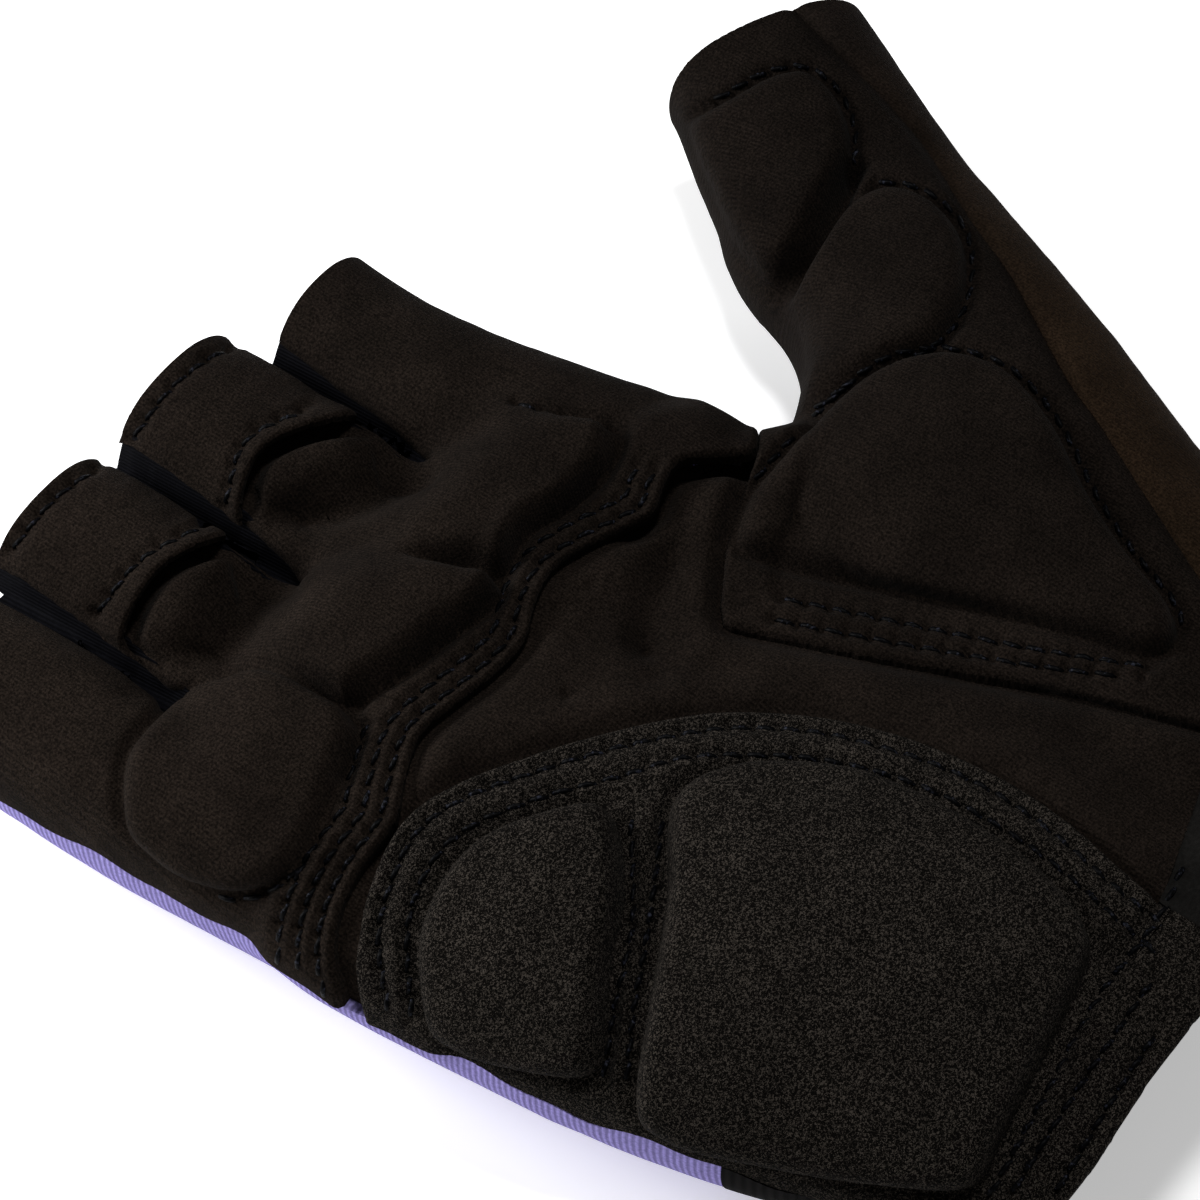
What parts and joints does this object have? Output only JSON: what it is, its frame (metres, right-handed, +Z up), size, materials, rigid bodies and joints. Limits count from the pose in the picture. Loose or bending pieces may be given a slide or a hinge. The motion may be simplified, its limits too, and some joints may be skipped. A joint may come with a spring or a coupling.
{
  "type": "fingerless cycling glove",
  "caption": "Right-hand fingerless cycling glove lying palm up, with padded suede palm, pull tabs, ribbed finger gussets and open finger, thumb and wrist holes.",
  "frame": {"origin": "on the surface that the glove lies on, under the middle of its bounding box", "axes": "+X towards the thumb's side, +Y towards the fingertips, +Z up, out of the palm"},
  "size_m": [0.1572, 0.1522, 0.033],
  "materials": {
    "suede": "dark brown-black microsuede, matt, fine nap",
    "suede_warm": "warm brown microsuede, matt",
    "microfibre": "grey-brown flecked microfibre, matt, coarse grain",
    "rib": "black ribbed stretch fabric",
    "stretch_lavender": "lavender stretch knit, fine grain",
    "wristband_black": "black stretch band, matt",
    "wrist_tab_grey": "dark grey smooth tab, satin"
  },
  "bodies": {
    "root": {"back_panel": "stretch_lavender", "thumb_back_panel": "rib", "wrist_band": "wristband_black", "finger_palm_panel": "suede", "centre_palm_panel": "suede", "heel_panel": "microfibre", "cuff_hem": "microfibre", "wrist_tab": "wrist_tab_grey", "thumb_panel": "suede", "thumb_side_panel": "suede_warm", "fourchette_ring_little": "rib", "fourchette_middle_ring": "rib", "fourchette_index_middle": "rib", "knuckle_pad_little": "suede", "knuckle_pad_middle": "suede", "knuckle_pad_index": "suede", "heel_pad_small": "microfibre", "heel_pad_large": "microfibre", "thenar_pad": "suede", "thumb_joint_pad": "suede", "thumb_tip_pad": "suede", "pull_tab_middle": "suede", "pull_tab_ring": "suede"}
  },
  "joints": []
}
